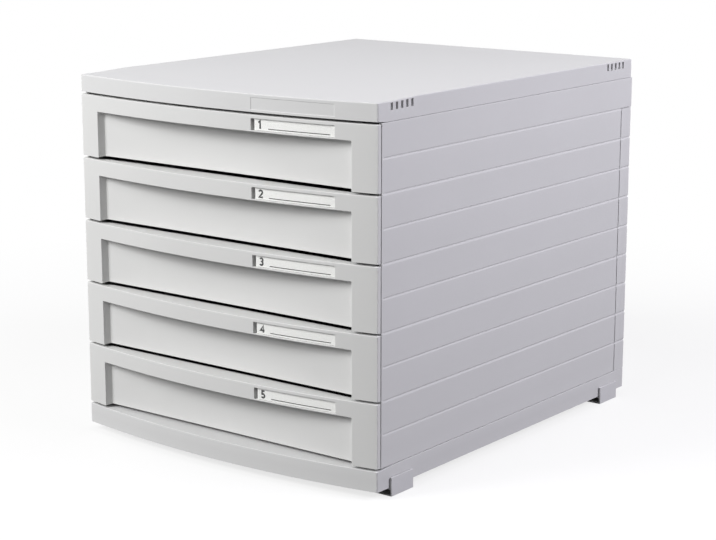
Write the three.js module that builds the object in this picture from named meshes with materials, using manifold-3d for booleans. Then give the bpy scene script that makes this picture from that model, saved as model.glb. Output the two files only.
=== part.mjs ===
// A desktop filing box: a light grey polystyrene case with bowed drawers that slide out on moulded ribs.
// Lengths are millimetres. x runs across the front, y runs from front to back, z is up.
// While a piece is being made, x = 0 is the middle, y = 0 the line through the two front corners,
// and z = 0 the underside of the base. The group at the end moves all of it onto the feet.
import * as THREE from "three";
import { mergeVertices } from "three/addons/utils/BufferGeometryUtils.js";
import Module from "manifold-3d";

const wasm = await Module();
wasm.setup();

// Driving sizes of the case
const caseWidth = 285;
const caseDepth = 346.5;
const frontBow = 13;
const drawerCount = 5;
const drawerPitch = 49.3;
const coverHeight = 14.9;
const baseHeight = 16.3;
const footDrop = 6.3;
const caseWall = 2.5;

// Clearances
const seam = 0.3;
const frontGap = 1.9;
const endGap = 1.9;
const sideGap = 1;
const slidePlay = 0.3;
const cutOver = 2;

// Grooves that run round the sides and the back, two to a drawer
const groovesPerDrawer = 2;
const grooveWidth = 2.8;
const grooveDepth = 0.5;

// Side panels: ribs that carry the drawers, a stop and a tongue into the cover
const frontReturn = 3.4;
const ribReach = 7;
const ribThick = 2;
const ribFrontSetback = 2;
const ribRearSetback = 15.5;
const stopReach = 6;
const stopLength = 6;
const stopHeight = 6.5;
const stopSetback = 4;
const tongueThick = 1.8;
const tongueRise = 8;

// Back panel: its sides wrap round onto the side faces, below the first groove
const wrapLength = 16;

// Top cover
const coverRearSetback = 0.8;
const coverRampDrop = 0.9;
const coverRampFront = 18;
const coverRampBack = 46;
const slotCount = 5;
const slotWidth = 2.5;
const slotHeight = 5.7;
const slotBelowTop = 0.9;
const plateRecess = 0.3;
const plateMargin = 1.6;

// Base
const underRibThick = 1.8;
const underRibDepth = 7;
const underRibInset = 48;
const lipRise = 5;
const lipEndSetback = 20;

// Feet
const footLength = 26.4;
const footSetback = 14.3;
const footReach = 24;
const footGap = 0.8;
const footPlateThick = 1.2;
const footPlateRise = 7.8;
const footWall = 2.4;
const footSole = 1;
const footWeb = 1.2;

// Drawer front
const skin = 2.2;
const ledgeThick = 2;
const barHeight = 12.1;
const postWidth = 20.3;
const postDraft = 2.3;
const panelSetback = 1.8;
const panelThick = 2;
const panelRaise = 1;
const hookCount = 3;
const hookSpread = 84;
const hookWidth = 12;
const hookThick = 2;
const hookReach = 3.2;
const hookBarb = 1;
const hookLift = 16;

// Label pocket in the drawer front
const labelSideGap = 33.4;
const labelLength = 70;
const labelHeight = 8.6;
const labelBelowLedge = 2.5;
const notchWidth = 2;
const cardThick = 0.4;
const coverThick = 0.8;
const labelPlay = 0.3;
const padBehind = 1.5;
const padBorder = 1.2;

// Tray
const trayWall = 2;
const trayRunClearance = 0.7;
const trayRearClearance = 4;
const trayFloorRaise = 1;
const trayCorner = 5;
const rimDrop = 4;
const flangeThick = 2;
const flangeWallClearance = 0.6;
const nubLength = 5;
const nubHeight = 6.2;
const nubWallClearance = 1.5;
const nubUnderRib = 0.5;
const drawerTravel = 262;

// Steps of the curves
const bowSteps = 10;
const labelSteps = 4;
const cornerSteps = 5;

// Sizes that follow from these
const halfWidth = caseWidth / 2;
const innerHalf = halfWidth - caseWall;
const caseHeight = baseHeight + drawerCount * drawerPitch + coverHeight;
const coverLine = caseHeight - coverHeight;
const coverFrontLow = coverLine - frontGap / 2 + endGap;
const basePlateTop = baseHeight + frontGap / 2 - endGap;
const backInner = caseDepth - caseWall;
const coverBack = caseDepth - coverRearSetback;
const bowRadius = (halfWidth ** 2 + frontBow ** 2) / (2 * frontBow);
const bowCentre = bowRadius - frontBow;
const panelFront = frontReturn + sideGap;
const groovePitch = drawerPitch / groovesPerDrawer;
const wrapTop = coverLine - groovePitch;
const flangeTop = drawerPitch - rimDrop;
const guardTop = flangeTop + slidePlay + ribThick;
const runnerTop = flangeTop - flangeThick - slidePlay;
const ledgeTop = drawerPitch - frontGap / 2;
const barBottom = ledgeTop - barHeight;
const windowHalf = halfWidth - postWidth;
const panelBack = panelSetback + panelThick;
const trayHalf = innerHalf - ribReach - trayRunClearance;
const trayFront = panelBack + seam;
const trayBack = backInner - trayRearClearance;
const stopFront = panelFront + stopSetback;
const footFronts = [footSetback, caseDepth - footSetback - footLength];
const pocketDepth = 3 * labelPlay + cardThick + coverThick;
const labelRight = halfWidth - labelSideGap;
const labelLeft = labelRight - labelLength;
const labelTop = ledgeTop - labelBelowLedge;
const labelBottom = labelTop - labelHeight;

// Turns a closed geometry into a solid that can be joined and cut
function solidOf(geometry) {
  const bare = geometry.clone();
  bare.deleteAttribute("normal");
  bare.deleteAttribute("uv");
  const merged = mergeVertices(bare, 1e-4);
  return new wasm.Manifold(
    new wasm.Mesh({
      numProp: 3,
      vertProperties: new Float32Array(merged.attributes.position.array),
      triVerts: new Uint32Array(merged.index.array),
    }),
  );
}

// Turns a solid back into a geometry
function geometryOf(solid) {
  const { vertProperties, triVerts, numProp } = solid.getMesh();
  const geometry = new THREE.BufferGeometry();
  const positions = new Float32Array((vertProperties.length / numProp) * 3);
  for (let i = 0; i < positions.length / 3; i++) {
    positions.set(vertProperties.subarray(i * numProp, i * numProp + 3), i * 3);
  }
  geometry.setAttribute("position", new THREE.BufferAttribute(positions, 3));
  geometry.setIndex(new THREE.BufferAttribute(triVerts, 1));
  geometry.computeVertexNormals();
  return geometry;
}

// A box between two corners, given in any order along each axis
function box([xa, xb], [ya, yb], [za, zb]) {
  const size = [Math.abs(xb - xa), Math.abs(yb - ya), Math.abs(zb - za)];
  const geometry = new THREE.BoxGeometry(...size);
  geometry.translate((xa + xb) / 2, (ya + yb) / 2, (za + zb) / 2);
  return solidOf(geometry);
}

// A plan outline raised from one height to another
function raised(shape, low, high, steps = 1) {
  const geometry = new THREE.ExtrudeGeometry(shape, {
    depth: high - low,
    bevelEnabled: false,
    curveSegments: steps,
  });
  geometry.translate(0, 0, low);
  return solidOf(geometry);
}

// An outline in x and z, carried along y
function carriedBack(points, front, back) {
  const shape = new THREE.Shape(points.map(([x, z]) => new THREE.Vector2(x, z)));
  const geometry = new THREE.ExtrudeGeometry(shape, { depth: back - front, bevelEnabled: false });
  geometry.rotateX(Math.PI / 2);
  geometry.translate(0, back, 0);
  return solidOf(geometry);
}

// An outline in y and z, carried along x
function carriedAcross(points, left, right) {
  const shape = new THREE.Shape(points.map(([y, z]) => new THREE.Vector2(y, z)));
  const geometry = new THREE.ExtrudeGeometry(shape, { depth: right - left, bevelEnabled: false });
  geometry.rotateX(Math.PI / 2);
  geometry.rotateZ(Math.PI / 2);
  geometry.translate(left, 0, 0);
  return solidOf(geometry);
}

// Where the bowed front, moved back by an inset, stands at a place across the width
function bowAt(x, inset) {
  return bowCentre - Math.sqrt((bowRadius - inset) ** 2 - x ** 2);
}

// Adds the bowed front, moved back by an inset, to an outline that already stands at its start
function addBow(shape, from, to, inset) {
  const radius = bowRadius - inset;
  const angle = (x) => Math.asin(x / radius) - Math.PI / 2;
  shape.absarc(0, bowCentre, radius, angle(from), angle(to), to < from);
}

// A plan outline with a bowed front edge and a straight back edge
function bowedPlan(half, inset, back) {
  const shape = new THREE.Shape();
  shape.moveTo(-half, bowAt(-half, inset));
  addBow(shape, -half, half, inset);
  shape.lineTo(half, back);
  shape.lineTo(-half, back);
  shape.closePath();
  return shape;
}

// A plan outline between two insets of the bowed front
function bowedBand(left, right, outer, inner) {
  const shape = new THREE.Shape();
  shape.moveTo(left, bowAt(left, outer));
  addBow(shape, left, right, outer);
  shape.lineTo(right, bowAt(right, inner));
  addBow(shape, right, left, inner);
  shape.closePath();
  return shape;
}

// A plan rectangle with round corners
function roundedPlan(half, front, back, radius) {
  const shape = new THREE.Shape();
  shape.moveTo(-half + radius, front);
  shape.lineTo(half - radius, front);
  shape.absarc(half - radius, front + radius, radius, -Math.PI / 2, 0, false);
  shape.lineTo(half, back - radius);
  shape.absarc(half - radius, back - radius, radius, 0, Math.PI / 2, false);
  shape.lineTo(-half + radius, back);
  shape.absarc(-half + radius, back - radius, radius, Math.PI / 2, Math.PI, false);
  shape.lineTo(-half, front + radius);
  shape.absarc(-half + radius, front + radius, radius, Math.PI, Math.PI * 1.5, false);
  return shape;
}

const joined = (first, ...others) => others.reduce((whole, piece) => whole.add(piece), first);
const cut = (first, ...others) => others.reduce((whole, piece) => whole.subtract(piece), first);

// Heights of the grooves, from the one under the cover's seam down to the one above the base
function grooveHeights() {
  const count = drawerCount * groovesPerDrawer - 1;
  return Array.from({ length: count }, (_, k) => coverLine - (k + 1) * groovePitch);
}

// A vee groove that runs along y on one side face
function sideGroove(side, height) {
  const face = side * halfWidth;
  const vee = [
    [face + side * grooveDepth, height - grooveWidth],
    [face - side * grooveDepth, height],
    [face + side * grooveDepth, height + grooveWidth],
  ];
  return carriedBack(vee, -cutOver, caseDepth + cutOver);
}

// A vee groove that runs along x on the back face
function backGroove(height) {
  const vee = [
    [caseDepth + grooveDepth, height - grooveWidth],
    [caseDepth - grooveDepth, height],
    [caseDepth + grooveDepth, height + grooveWidth],
  ];
  return carriedAcross(vee, -halfWidth - cutOver, halfWidth + cutOver);
}

// One side of the case. side is 1 on the right and -1 on the left.
function sidePanel(side) {
  const wall = [side * innerHalf, side * halfWidth];
  const inward = (reach) => [side * (innerHalf - reach), side * (innerHalf + caseWall / 2)];
  const ribs = [panelFront + ribFrontSetback, caseDepth - ribRearSetback];
  const low = baseHeight + seam / 2;
  const high = coverLine - seam / 2;
  let panel = box(wall, [panelFront, caseDepth], [low, high]);
  for (let i = 0; i < drawerCount; i++) {
    const floor = baseHeight + i * drawerPitch;
    const guard = [floor + guardTop - ribThick, floor + guardTop];
    const runner = [floor + runnerTop - ribThick, floor + runnerTop];
    const stop = [floor + runnerTop - ribThick - stopHeight, floor + runnerTop - ribThick / 2];
    panel = joined(
      panel,
      box(inward(ribReach), ribs, guard),
      box(inward(ribReach), ribs, runner),
      box(inward(stopReach), [stopFront, stopFront + stopLength], stop),
    );
  }
  const tongueFoot = coverLine - drawerPitch + guardTop - ribThick / 2;
  const tongue = [side * (innerHalf - seam - tongueThick), side * (innerHalf - seam)];
  const wrapped = [caseDepth - wrapLength - seam, caseDepth + cutOver];
  return cut(
    joined(panel, box(tongue, ribs, [tongueFoot, coverLine + tongueRise])),
    box([side * (innerHalf - seam), side * (halfWidth + cutOver)], wrapped, [-cutOver, wrapTop + seam]),
    ...grooveHeights().map((height) => sideGroove(side, height)),
  );
}

// The back of the case, whose sides wrap round onto the side faces
function backPanel() {
  const low = baseHeight + seam / 2;
  const plate = [backInner, caseDepth];
  const wrap = [caseDepth - wrapLength, caseDepth];
  const upperHalf = innerHalf - seam;
  const sides = [-1, 1].map((side) => box([side * innerHalf, side * halfWidth], wrap, [low, wrapTop]));
  return cut(
    joined(
      box([-upperHalf, upperHalf], plate, [low, coverLine - seam]),
      box([-halfWidth, halfWidth], plate, [low, wrapTop]),
      ...sides,
    ),
    ...grooveHeights().map(backGroove),
    ...grooveHeights().flatMap((height) => [sideGroove(-1, height), sideGroove(1, height)]),
  );
}

// The lid: a plate with a skirt, bowed in front, with slots over each foot and a bare name field
function topCover() {
  const top = caseHeight;
  const under = top - caseWall;
  const low = coverLine + seam / 2;
  const inside = bowedPlan(innerHalf, caseWall, coverBack - caseWall);
  const hollow = raised(inside, low - cutOver, under, bowSteps);
  const beyond = [-halfWidth - cutOver, halfWidth + cutOver];
  const ramp = [
    [-frontBow - cutOver, top - coverRampDrop],
    [coverRampFront, top - coverRampDrop],
    [coverRampBack, top],
    [coverRampBack, top + cutOver],
    [-frontBow - cutOver, top + cutOver],
  ];
  const nameField = bowedBand(labelLeft, labelRight, -cutOver, plateRecess);
  const slots = [];
  for (const side of [-1, 1]) {
    for (const front of footFronts) {
      for (let k = 0; k < slotCount; k++) {
        const start = front + (k / (slotCount - 1)) * (footLength - slotWidth);
        const across = [side * (innerHalf - cutOver), side * (halfWidth + cutOver)];
        const up = [top - slotBelowTop - slotHeight, top - slotBelowTop];
        slots.push(box(across, [start, start + slotWidth], up));
      }
    }
  }
  return cut(
    raised(bowedPlan(halfWidth, 0, coverBack), low, top, bowSteps),
    hollow,
    box(beyond, [-frontBow - cutOver, panelFront], [low - cutOver, coverFrontLow]),
    carriedAcross(ramp, ...beyond),
    raised(nameField, coverFrontLow + plateMargin, top - coverRampDrop - plateMargin, labelSteps),
    ...slots,
  );
}

// The underside of the case: a plate with a skirt, ribs below and a lip inside each side panel
function base() {
  const under = basePlateTop - caseWall;
  const rimTop = baseHeight - seam / 2;
  const hollow = raised(bowedPlan(innerHalf, caseWall, backInner), -cutOver, under, bowSteps);
  let whole = cut(raised(bowedPlan(halfWidth, 0, caseDepth), 0, basePlateTop, bowSteps), hollow);
  const ribLow = under - underRibDepth;
  const ribUp = basePlateTop - caseWall / 2;
  const lipRange = [panelFront + lipEndSetback, backInner - lipEndSetback];
  for (const side of [-1, 1]) {
    const lip = [side * (innerHalf - seam - tongueThick), side * (innerHalf - seam)];
    const rib = side * (innerHalf - underRibInset);
    whole = joined(
      whole,
      box([side * innerHalf, side * halfWidth], [panelFront, caseDepth], [under, rimTop]),
      box(lip, lipRange, [under, baseHeight + lipRise]),
      box([rib, rib + underRibThick], [0, backInner + caseWall / 2], [ribLow, ribUp]),
    );
  }
  const ribHalf = innerHalf + caseWall / 2;
  for (const place of [underRibInset, backInner - underRibInset]) {
    whole = joined(
      whole,
      box([-ribHalf, ribHalf], [place, place + underRibThick], [ribLow, ribUp]),
    );
  }
  whole = joined(whole, box([-innerHalf, innerHalf], [backInner, caseDepth], [under, rimTop]));
  return whole;
}

// A foot that clips round the skirt of the base, hollow from the front between its sole and its web
function foot(side) {
  const plateIn = halfWidth + footGap;
  const plateOut = plateIn + footPlateThick;
  const plugOut = innerHalf - seam;
  const plugIn = halfWidth - footReach;
  const plugTop = basePlateTop - caseWall - seam;
  const outline = [
    [plateOut, -footDrop],
    [plateOut, footPlateRise],
    [plateIn, footPlateRise],
    [plateIn, -seam],
    [plugOut, -seam],
    [plugOut, plugTop],
    [plugOut - footWall, plugTop],
    [plugOut - footWall, -seam],
    [plugIn + footWall, -seam],
    [plugIn + footWall, plugTop],
    [plugIn, plugTop],
    [plugIn, -footDrop],
  ];
  const across = [side * (plugIn + footWall), side * plateIn];
  const up = [footSole - footDrop, -seam - footWeb];
  return cut(
    carriedBack(outline.map(([x, z]) => [side * x, z]), 0, footLength),
    box(across, [-cutOver, footLength - footWall], up),
  );
}

// A drawer's front: a bowed bar and two posts round a flat panel that is set back for the fingers.
// z = 0 is the middle of the gap below the drawer.
function drawerFront() {
  const low = frontGap / 2;
  const under = ledgeTop - ledgeThick;
  const behind = frontReturn + cutOver;
  const shell = cut(
    raised(bowedPlan(halfWidth, 0, frontReturn), low, ledgeTop, bowSteps),
    raised(bowedPlan(halfWidth - skin, skin, behind), low - cutOver, under, bowSteps),
    box([-windowHalf, windowHalf], [-frontBow - cutOver, behind], [low - cutOver, barBottom]),
  );
  const ledgeHalf = windowHalf + skin;
  const ledge = raised(bowedPlan(ledgeHalf, skin / 2, panelBack), under, ledgeTop, bowSteps);
  const panelHalf = windowHalf - postDraft + skin;
  const panel = box([-panelHalf, panelHalf], [panelSetback, panelBack], [low + panelRaise, ledgeTop]);
  const cheeks = [-1, 1].map((side) => {
    const shape = new THREE.Shape();
    shape.moveTo(side * windowHalf, bowAt(windowHalf, skin / 2));
    shape.lineTo(side * (windowHalf + skin), bowAt(windowHalf + skin, skin / 2));
    shape.lineTo(side * (windowHalf + skin - postDraft), panelBack);
    shape.lineTo(side * (windowHalf - postDraft), panelBack);
    shape.closePath();
    return raised(shape, low, ledgeTop - ledgeThick / 2);
  });
  const pad = raised(
    bowedBand(labelLeft - padBorder, labelRight + padBorder, skin / 2, skin + padBehind),
    barBottom,
    under + ledgeThick / 2,
    labelSteps,
  );
  const hooks = [];
  for (let k = 0; k < hookCount; k++) {
    const middle = (k - (hookCount - 1) / 2) * hookSpread;
    const across = [middle - hookWidth / 2, middle + hookWidth / 2];
    const tip = trayFront + trayWall + hookReach;
    hooks.push(
      box(across, [panelBack - panelThick / 2, tip], [hookLift, hookLift + hookThick]),
      box(across, [trayFront + trayWall + seam, tip], [hookLift - hookBarb, hookLift + hookThick / 2]),
    );
  }
  const pocket = raised(
    bowedBand(labelLeft, labelRight, -cutOver, pocketDepth),
    labelBottom,
    labelTop,
    labelSteps,
  );
  const notch = box(
    [labelLeft, labelLeft + notchWidth],
    [-frontBow - cutOver, bowAt(labelLeft, skin + padBehind) + cutOver],
    [labelBottom, labelTop],
  );
  return cut(joined(shell, ledge, panel, ...cheeks, pad, ...hooks), pocket, notch);
}

// A strip that follows the bow inside the label pocket, between two depths
function labelStrip(outer, inner) {
  const left = labelLeft + notchWidth + labelPlay;
  const right = labelRight - labelPlay;
  return raised(
    bowedBand(left, right, outer, inner),
    labelBottom + labelPlay,
    labelTop - labelPlay,
    labelSteps,
  );
}

// A drawer's tray: an open box that hangs on a flange at each side, with the nubs that meet the stops
function tray() {
  const low = trayFloorRaise;
  const holes = [];
  for (let k = 0; k < hookCount; k++) {
    const middle = (k - (hookCount - 1) / 2) * hookSpread;
    const across = [middle - hookWidth / 2 - seam, middle + hookWidth / 2 + seam];
    const up = [hookLift - hookBarb - seam, hookLift + hookThick + seam];
    holes.push(box(across, [trayFront - cutOver, trayFront + trayWall + seam / 2], up));
  }
  const shell = cut(
    raised(roundedPlan(trayHalf, trayFront, trayBack, trayCorner), low, flangeTop, cornerSteps),
    raised(
      roundedPlan(trayHalf - trayWall, trayFront + trayWall, trayBack - trayWall, trayCorner - trayWall),
      low + trayWall,
      flangeTop + cutOver,
      cornerSteps,
    ),
  );
  const nubFront = stopFront + stopLength + drawerTravel + seam;
  const nubTop = runnerTop - ribThick - nubUnderRib;
  const extras = [-1, 1].flatMap((side) => {
    const flange = [side * (trayHalf - trayWall / 2), side * (innerHalf - flangeWallClearance)];
    const nub = [side * (trayHalf - trayWall / 2), side * (innerHalf - nubWallClearance)];
    return [
      box(flange, [trayFront + trayCorner, trayBack - trayCorner], [flangeTop - flangeThick, flangeTop]),
      box(nub, [nubFront, nubFront + nubLength], [nubTop - nubHeight, nubTop]),
    ];
  });
  return cut(joined(shell, ...extras), ...holes);
}

// Finishes
const casePlastic = new THREE.MeshStandardMaterial({ color: 0xd6d7d6, roughness: 0.5, metalness: 0 });
const frontPlastic = new THREE.MeshStandardMaterial({ color: 0xd8d8d6, roughness: 0.45, metalness: 0 });
const trayPlastic = new THREE.MeshStandardMaterial({ color: 0xd2d3d2, roughness: 0.55, metalness: 0 });
const footPlastic = new THREE.MeshStandardMaterial({ color: 0xcfcfd2, roughness: 0.55, metalness: 0 });
const cardPaper = new THREE.MeshStandardMaterial({ color: 0xf7f7f5, roughness: 0.85, metalness: 0 });
const clearPlastic = new THREE.MeshStandardMaterial({
  color: 0xf2f5f7,
  roughness: 0.12,
  metalness: 0,
  transparent: true,
  opacity: 0.25,
});

const cabinet = new THREE.Group();

function place(name, geometry, material, x = 0, y = 0, z = 0) {
  const mesh = new THREE.Mesh(geometry, material);
  mesh.name = name;
  mesh.position.set(x, y, z);
  cabinet.add(mesh);
}

place("top_cover", geometryOf(topCover()), casePlastic);
place("base", geometryOf(base()), casePlastic);
place("back_panel", geometryOf(backPanel()), casePlastic);
place("left_side_panel", geometryOf(sidePanel(-1)), casePlastic);
place("right_side_panel", geometryOf(sidePanel(1)), casePlastic);

for (const [side, sideName] of [[-1, "left"], [1, "right"]]) {
  const footGeometry = geometryOf(foot(side));
  place(`front_${sideName}_foot`, footGeometry, footPlastic, 0, footFronts[0]);
  place(`rear_${sideName}_foot`, footGeometry, footPlastic, 0, footFronts[1]);
}

const frontGeometry = geometryOf(drawerFront());
const trayGeometry = geometryOf(tray());
const cardInset = 2 * labelPlay + coverThick;
const windowGeometry = geometryOf(labelStrip(labelPlay, labelPlay + coverThick));
const cardGeometry = geometryOf(labelStrip(cardInset, cardInset + cardThick));
for (let i = 0; i < drawerCount; i++) {
  const number = i + 1;
  const floor = coverLine - number * drawerPitch;
  place(`drawer_${number}_tray`, trayGeometry, trayPlastic, 0, 0, floor);
  place(`drawer_${number}_front`, frontGeometry, frontPlastic, 0, 0, floor);
  place(`drawer_${number}_label_card`, cardGeometry, cardPaper, 0, 0, floor);
  place(`drawer_${number}_label_window`, windowGeometry, clearPlastic, 0, 0, floor);
}

// Stands the case on its feet, with the origin under the middle of its whole outline
const standing = new THREE.Group();
cabinet.position.set(0, -(caseDepth - frontBow) / 2, footDrop);
standing.add(cabinet);

export default standing;
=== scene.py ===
import math
import bpy
import numpy as np
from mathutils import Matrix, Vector


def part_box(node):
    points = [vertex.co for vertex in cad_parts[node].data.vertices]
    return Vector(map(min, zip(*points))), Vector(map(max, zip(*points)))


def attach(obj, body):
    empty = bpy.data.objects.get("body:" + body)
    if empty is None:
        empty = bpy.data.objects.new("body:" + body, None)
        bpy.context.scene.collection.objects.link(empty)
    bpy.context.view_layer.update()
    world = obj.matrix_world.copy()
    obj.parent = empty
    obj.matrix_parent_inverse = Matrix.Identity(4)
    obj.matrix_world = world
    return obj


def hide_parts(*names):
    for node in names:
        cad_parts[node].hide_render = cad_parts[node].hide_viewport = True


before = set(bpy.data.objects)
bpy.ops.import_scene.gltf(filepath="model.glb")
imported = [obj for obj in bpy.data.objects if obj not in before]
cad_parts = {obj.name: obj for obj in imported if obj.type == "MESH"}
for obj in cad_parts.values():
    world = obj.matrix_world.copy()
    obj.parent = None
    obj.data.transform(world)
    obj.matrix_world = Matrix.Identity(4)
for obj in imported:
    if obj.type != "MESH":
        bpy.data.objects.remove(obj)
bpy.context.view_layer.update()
mm = 0.001
tiny = 1e-9                         # metres, far below any measure here
arcPoints = 6                       # on each round turn of a coarse edge
print("frame loaded")

# the case's own lines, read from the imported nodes
coverLow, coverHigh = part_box("top_cover")
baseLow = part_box("base")[0]
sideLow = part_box("right_side_panel")[0]
backLow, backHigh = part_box("back_panel")
case = {
    "half": coverHigh.x,            # half the width
    "bow": 13 * mm,                 # how far the front swells forward
    "wall": 2.5 * mm,
    "drawers": 5,
    "frontGap": 1.9 * mm,           # between one front and the next
    "endGap": 1.9 * mm,             # above the first front and below the last
    "seam": 0.3 * mm,
    "cornerRadius": 0.6 * mm,       # upright edges seen from above
}
case["cornerLine"] = baseLow.y + case["bow"]
case["rear"] = backHigh.y
case["coverLine"] = coverLow.z - case["seam"] / 2
case["baseLine"] = sideLow.z - case["seam"] / 2
case["pitch"] = (case["coverLine"] - case["baseLine"]) / case["drawers"]
bowRadius = (case["half"] ** 2 + case["bow"] ** 2) / (2 * case["bow"])


# places on a circle at the given angles
def circle(middle, radius, angles):
    return np.asarray(middle) + radius * np.stack([np.cos(angles), np.sin(angles)], -1)


# where the swollen front stands at x: a circle through both corners and the apex
def bowAt(x, inset=0.0):
    reach = np.sqrt((bowRadius - inset) ** 2 - np.asarray(x) ** 2)
    return case["cornerLine"] + bowRadius - case["bow"] - reach


# a polyline whose inner corners are swapped for arcs: each arc is a circle of the given radius
# tangent to both legs, walked in equal angles
def roundedLine(points, radius, steps=arcPoints - 1):
    points = [np.array(p, float) for p in points]
    line = [points[0]]
    for before, corner, after in zip(points, points[1:], points[2:]):
        a = (before - corner) / np.linalg.norm(before - corner)
        b = (after - corner) / np.linalg.norm(after - corner)
        half = math.acos(np.clip(a @ b, -1, 1)) / 2
        centre = corner + (a + b) / np.linalg.norm(a + b) * radius / math.sin(half)
        start = corner + a * radius / math.tan(half) - centre
        end = corner + b * radius / math.tan(half) - centre
        sweep = math.pi - 2 * half
        t = np.linspace(0, 1, steps + 1)[:, None]
        arc = (np.sin((1 - t) * sweep) * start + np.sin(t * sweep) * end) / math.sin(sweep)
        line.extend(centre + arc)
    line.append(points[-1])
    return np.array(line)


# a closed outline with arcs at its corners, counted from the middle of its first edge
def roundedLoop(points, radius, steps=3):
    points = [np.array(p, float) for p in points]
    middle = (points[0] + points[1]) / 2
    return roundedLine([middle, *points[1:], points[0], middle], radius, steps)[:-1]


# the round cornered loop between two places and two heights
def boxLoop(near, far, low, high, radius):
    return roundedLoop([(near, low), (far, low), (far, high), (near, high)], radius)


# points from places in plan and heights, either of which is repeated to the other's rows and columns
def raisedPlan(plan, heights):
    shape = np.broadcast_shapes(plan.shape[:-1], np.shape(heights))
    heights = np.broadcast_to(heights, shape)
    return np.concatenate([np.broadcast_to(plan, (*shape, 2)), heights[..., None]], -1)


# quads of a grid of rows by columns, optionally closed round the columns
def gridQuads(rows, columns, closeColumns=False, flip=False):
    i = np.arange(rows - 1)[:, None]
    j = np.arange(columns if closeColumns else columns - 1)[None, :]
    nextJ = (j + 1) % columns
    corners = [i * columns + j, i * columns + nextJ, (i + 1) * columns + nextJ, (i + 1) * columns + j]
    quads = np.stack([np.broadcast_to(c, (i.size, j.size)) for c in corners], -1).reshape(-1, 4)
    return quads[:, ::-1] if flip else quads


wearAndHighlightReach = 0.6 * mm                # an outward bend of this radius counts as fully rubbed and gets the full painted highlight


# a smooth mesh from points and faces, with a mark of 0 to 1 where it bends outwards: the change of
# the normal along each edge divided by the edge's length, of which a point takes the largest
def meshOf(name, points, faces):
    mesh = bpy.data.meshes.new(name)
    mesh.from_pydata(np.asarray(points).reshape(-1, 3).tolist(), [], [list(f) for f in faces])
    mesh.validate()
    mesh.polygons.foreach_set("use_smooth", np.ones(len(mesh.polygons), bool))
    count = len(mesh.vertices)
    co, normal = np.zeros(count * 3), np.zeros(count * 3)
    ends = np.zeros(len(mesh.edges) * 2, int)
    mesh.vertices.foreach_get("co", co)
    mesh.vertices.foreach_get("normal", normal)
    mesh.edges.foreach_get("vertices", ends)
    co, normal, ends = co.reshape(-1, 3), normal.reshape(-1, 3), ends.reshape(-1, 2)
    along = co[ends[:, 0]] - co[ends[:, 1]]
    turned = ((normal[ends[:, 0]] - normal[ends[:, 1]]) * along).sum(1)
    bend = turned / np.maximum((along ** 2).sum(1), tiny * mm)
    wornAndLit = np.zeros(count)
    np.maximum.at(wornAndLit, ends[:, 0], bend)
    np.maximum.at(wornAndLit, ends[:, 1], bend)
    # the mark of the outward edges, which the plastic paints paler: rubbed wear and a painted highlight
    mark = mesh.attributes.new("edgeWearAndHighlight", "FLOAT", "POINT")
    mark.data.foreach_set("value", np.clip(wornAndLit * wearAndHighlightReach, 0, 1))
    return mesh


# joins several (points, faces) shells into one pair of arrays
def joinShells(shells):
    points, faces, count = [], [], 0
    for shellPoints, shellFaces in shells:
        flat = np.asarray(shellPoints).reshape(-1, 3)
        points.append(flat)
        faces.extend((np.asarray(f) + count).tolist() for f in shellFaces)
        count += len(flat)
    return np.concatenate(points), faces


# unit normals on the left of a path, from the legs between its points
def leftNormals(legs):
    normal = np.stack([-legs[:, 1], legs[:, 0]], -1)
    return normal / np.linalg.norm(normal, axis=1)[:, None]


# the normals of a path's corners, long enough to keep both its legs' widths: the sum of the legs'
# normals over one plus their cosine
def mitred(before, after, least=tiny):
    return (before + after) / np.maximum(1 + (before * after).sum(1), least)[:, None]


# a closed slab between two sheets of the same rows and columns, sewn together along their borders
def slab(outer, inner):
    rows, columns = outer.shape[:2]
    count = rows * columns
    index = np.arange(count).reshape(rows, columns)
    faces = [gridQuads(rows, columns), gridQuads(rows, columns, flip=True) + count]
    for rim in (index[0, ::-1], index[-1], index[:, 0], index[::-1, -1]):
        before, after = rim[:-1], rim[1:]
        faces.append(np.stack([before, after, after + count, before + count], -1))
    points = np.concatenate([outer.reshape(-1, 3), inner.reshape(-1, 3)])
    return points, np.concatenate(faces).tolist()


# a closed bar: an outline in two axes, repeated at each place along the third, with flat ends
def barShell(outline, places, axis):
    outline = np.asarray(outline, float)
    u, v = outline[:, 0], outline[:, 1]
    places = np.asarray(places, float)
    grid = np.zeros((len(places), len(outline), 3))
    others = [k for k in range(3) if k != axis]
    grid[:, :, others[0]] = u
    grid[:, :, others[1]] = v
    grid[:, :, axis] = places[:, None]
    turn = np.roll(u, -1) * v - u * np.roll(v, -1)
    flip = (turn.sum() > 0) == (axis != 1)
    quads = gridQuads(len(places), len(outline), closeColumns=True, flip=flip)
    first = list(range(len(outline)))
    last = [k + (len(places) - 1) * len(outline) for k in first]
    ends = [first[::-1], last] if not flip else [first, last[::-1]]
    return grid, [*quads.tolist(), *ends]


edgeFinish = {
    "segments": 2,
    "angle": 50,                    # degrees between two faces, from which their edge is bevelled
}


# a piece of a body from its points and faces: it rides on the body, replaces a solid of the frame
# where one is named, fills a material slot, and has its sharp edges bevelled by the given width
def addPiece(name, shell, material, node, body, bevel=0.0):
    mesh = meshOf(name, *shell)
    piece = bpy.data.objects.new(name, mesh)
    bpy.context.scene.collection.objects.link(piece)
    mesh.materials.append(material)
    if bevel:
        edge = piece.modifiers.new("edge", "BEVEL")
        edge.width = bevel
        edge.segments = edgeFinish["segments"]
        edge.limit_method = "ANGLE"
        edge.angle_limit = math.radians(edgeFinish["angle"])
        edge.use_clamp_overlap = True
    flat = piece.modifiers.new("flat", "WEIGHTED_NORMAL")
    flat.keep_sharp = True
    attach(piece, body)
    if node:
        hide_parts(node)


# a new material with its node tree and its shader
def nodeMaterial(name):
    material = bpy.data.materials.new(name)
    material.use_nodes = True
    return material, material.node_tree, material.node_tree.nodes["Principled BSDF"]


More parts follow.
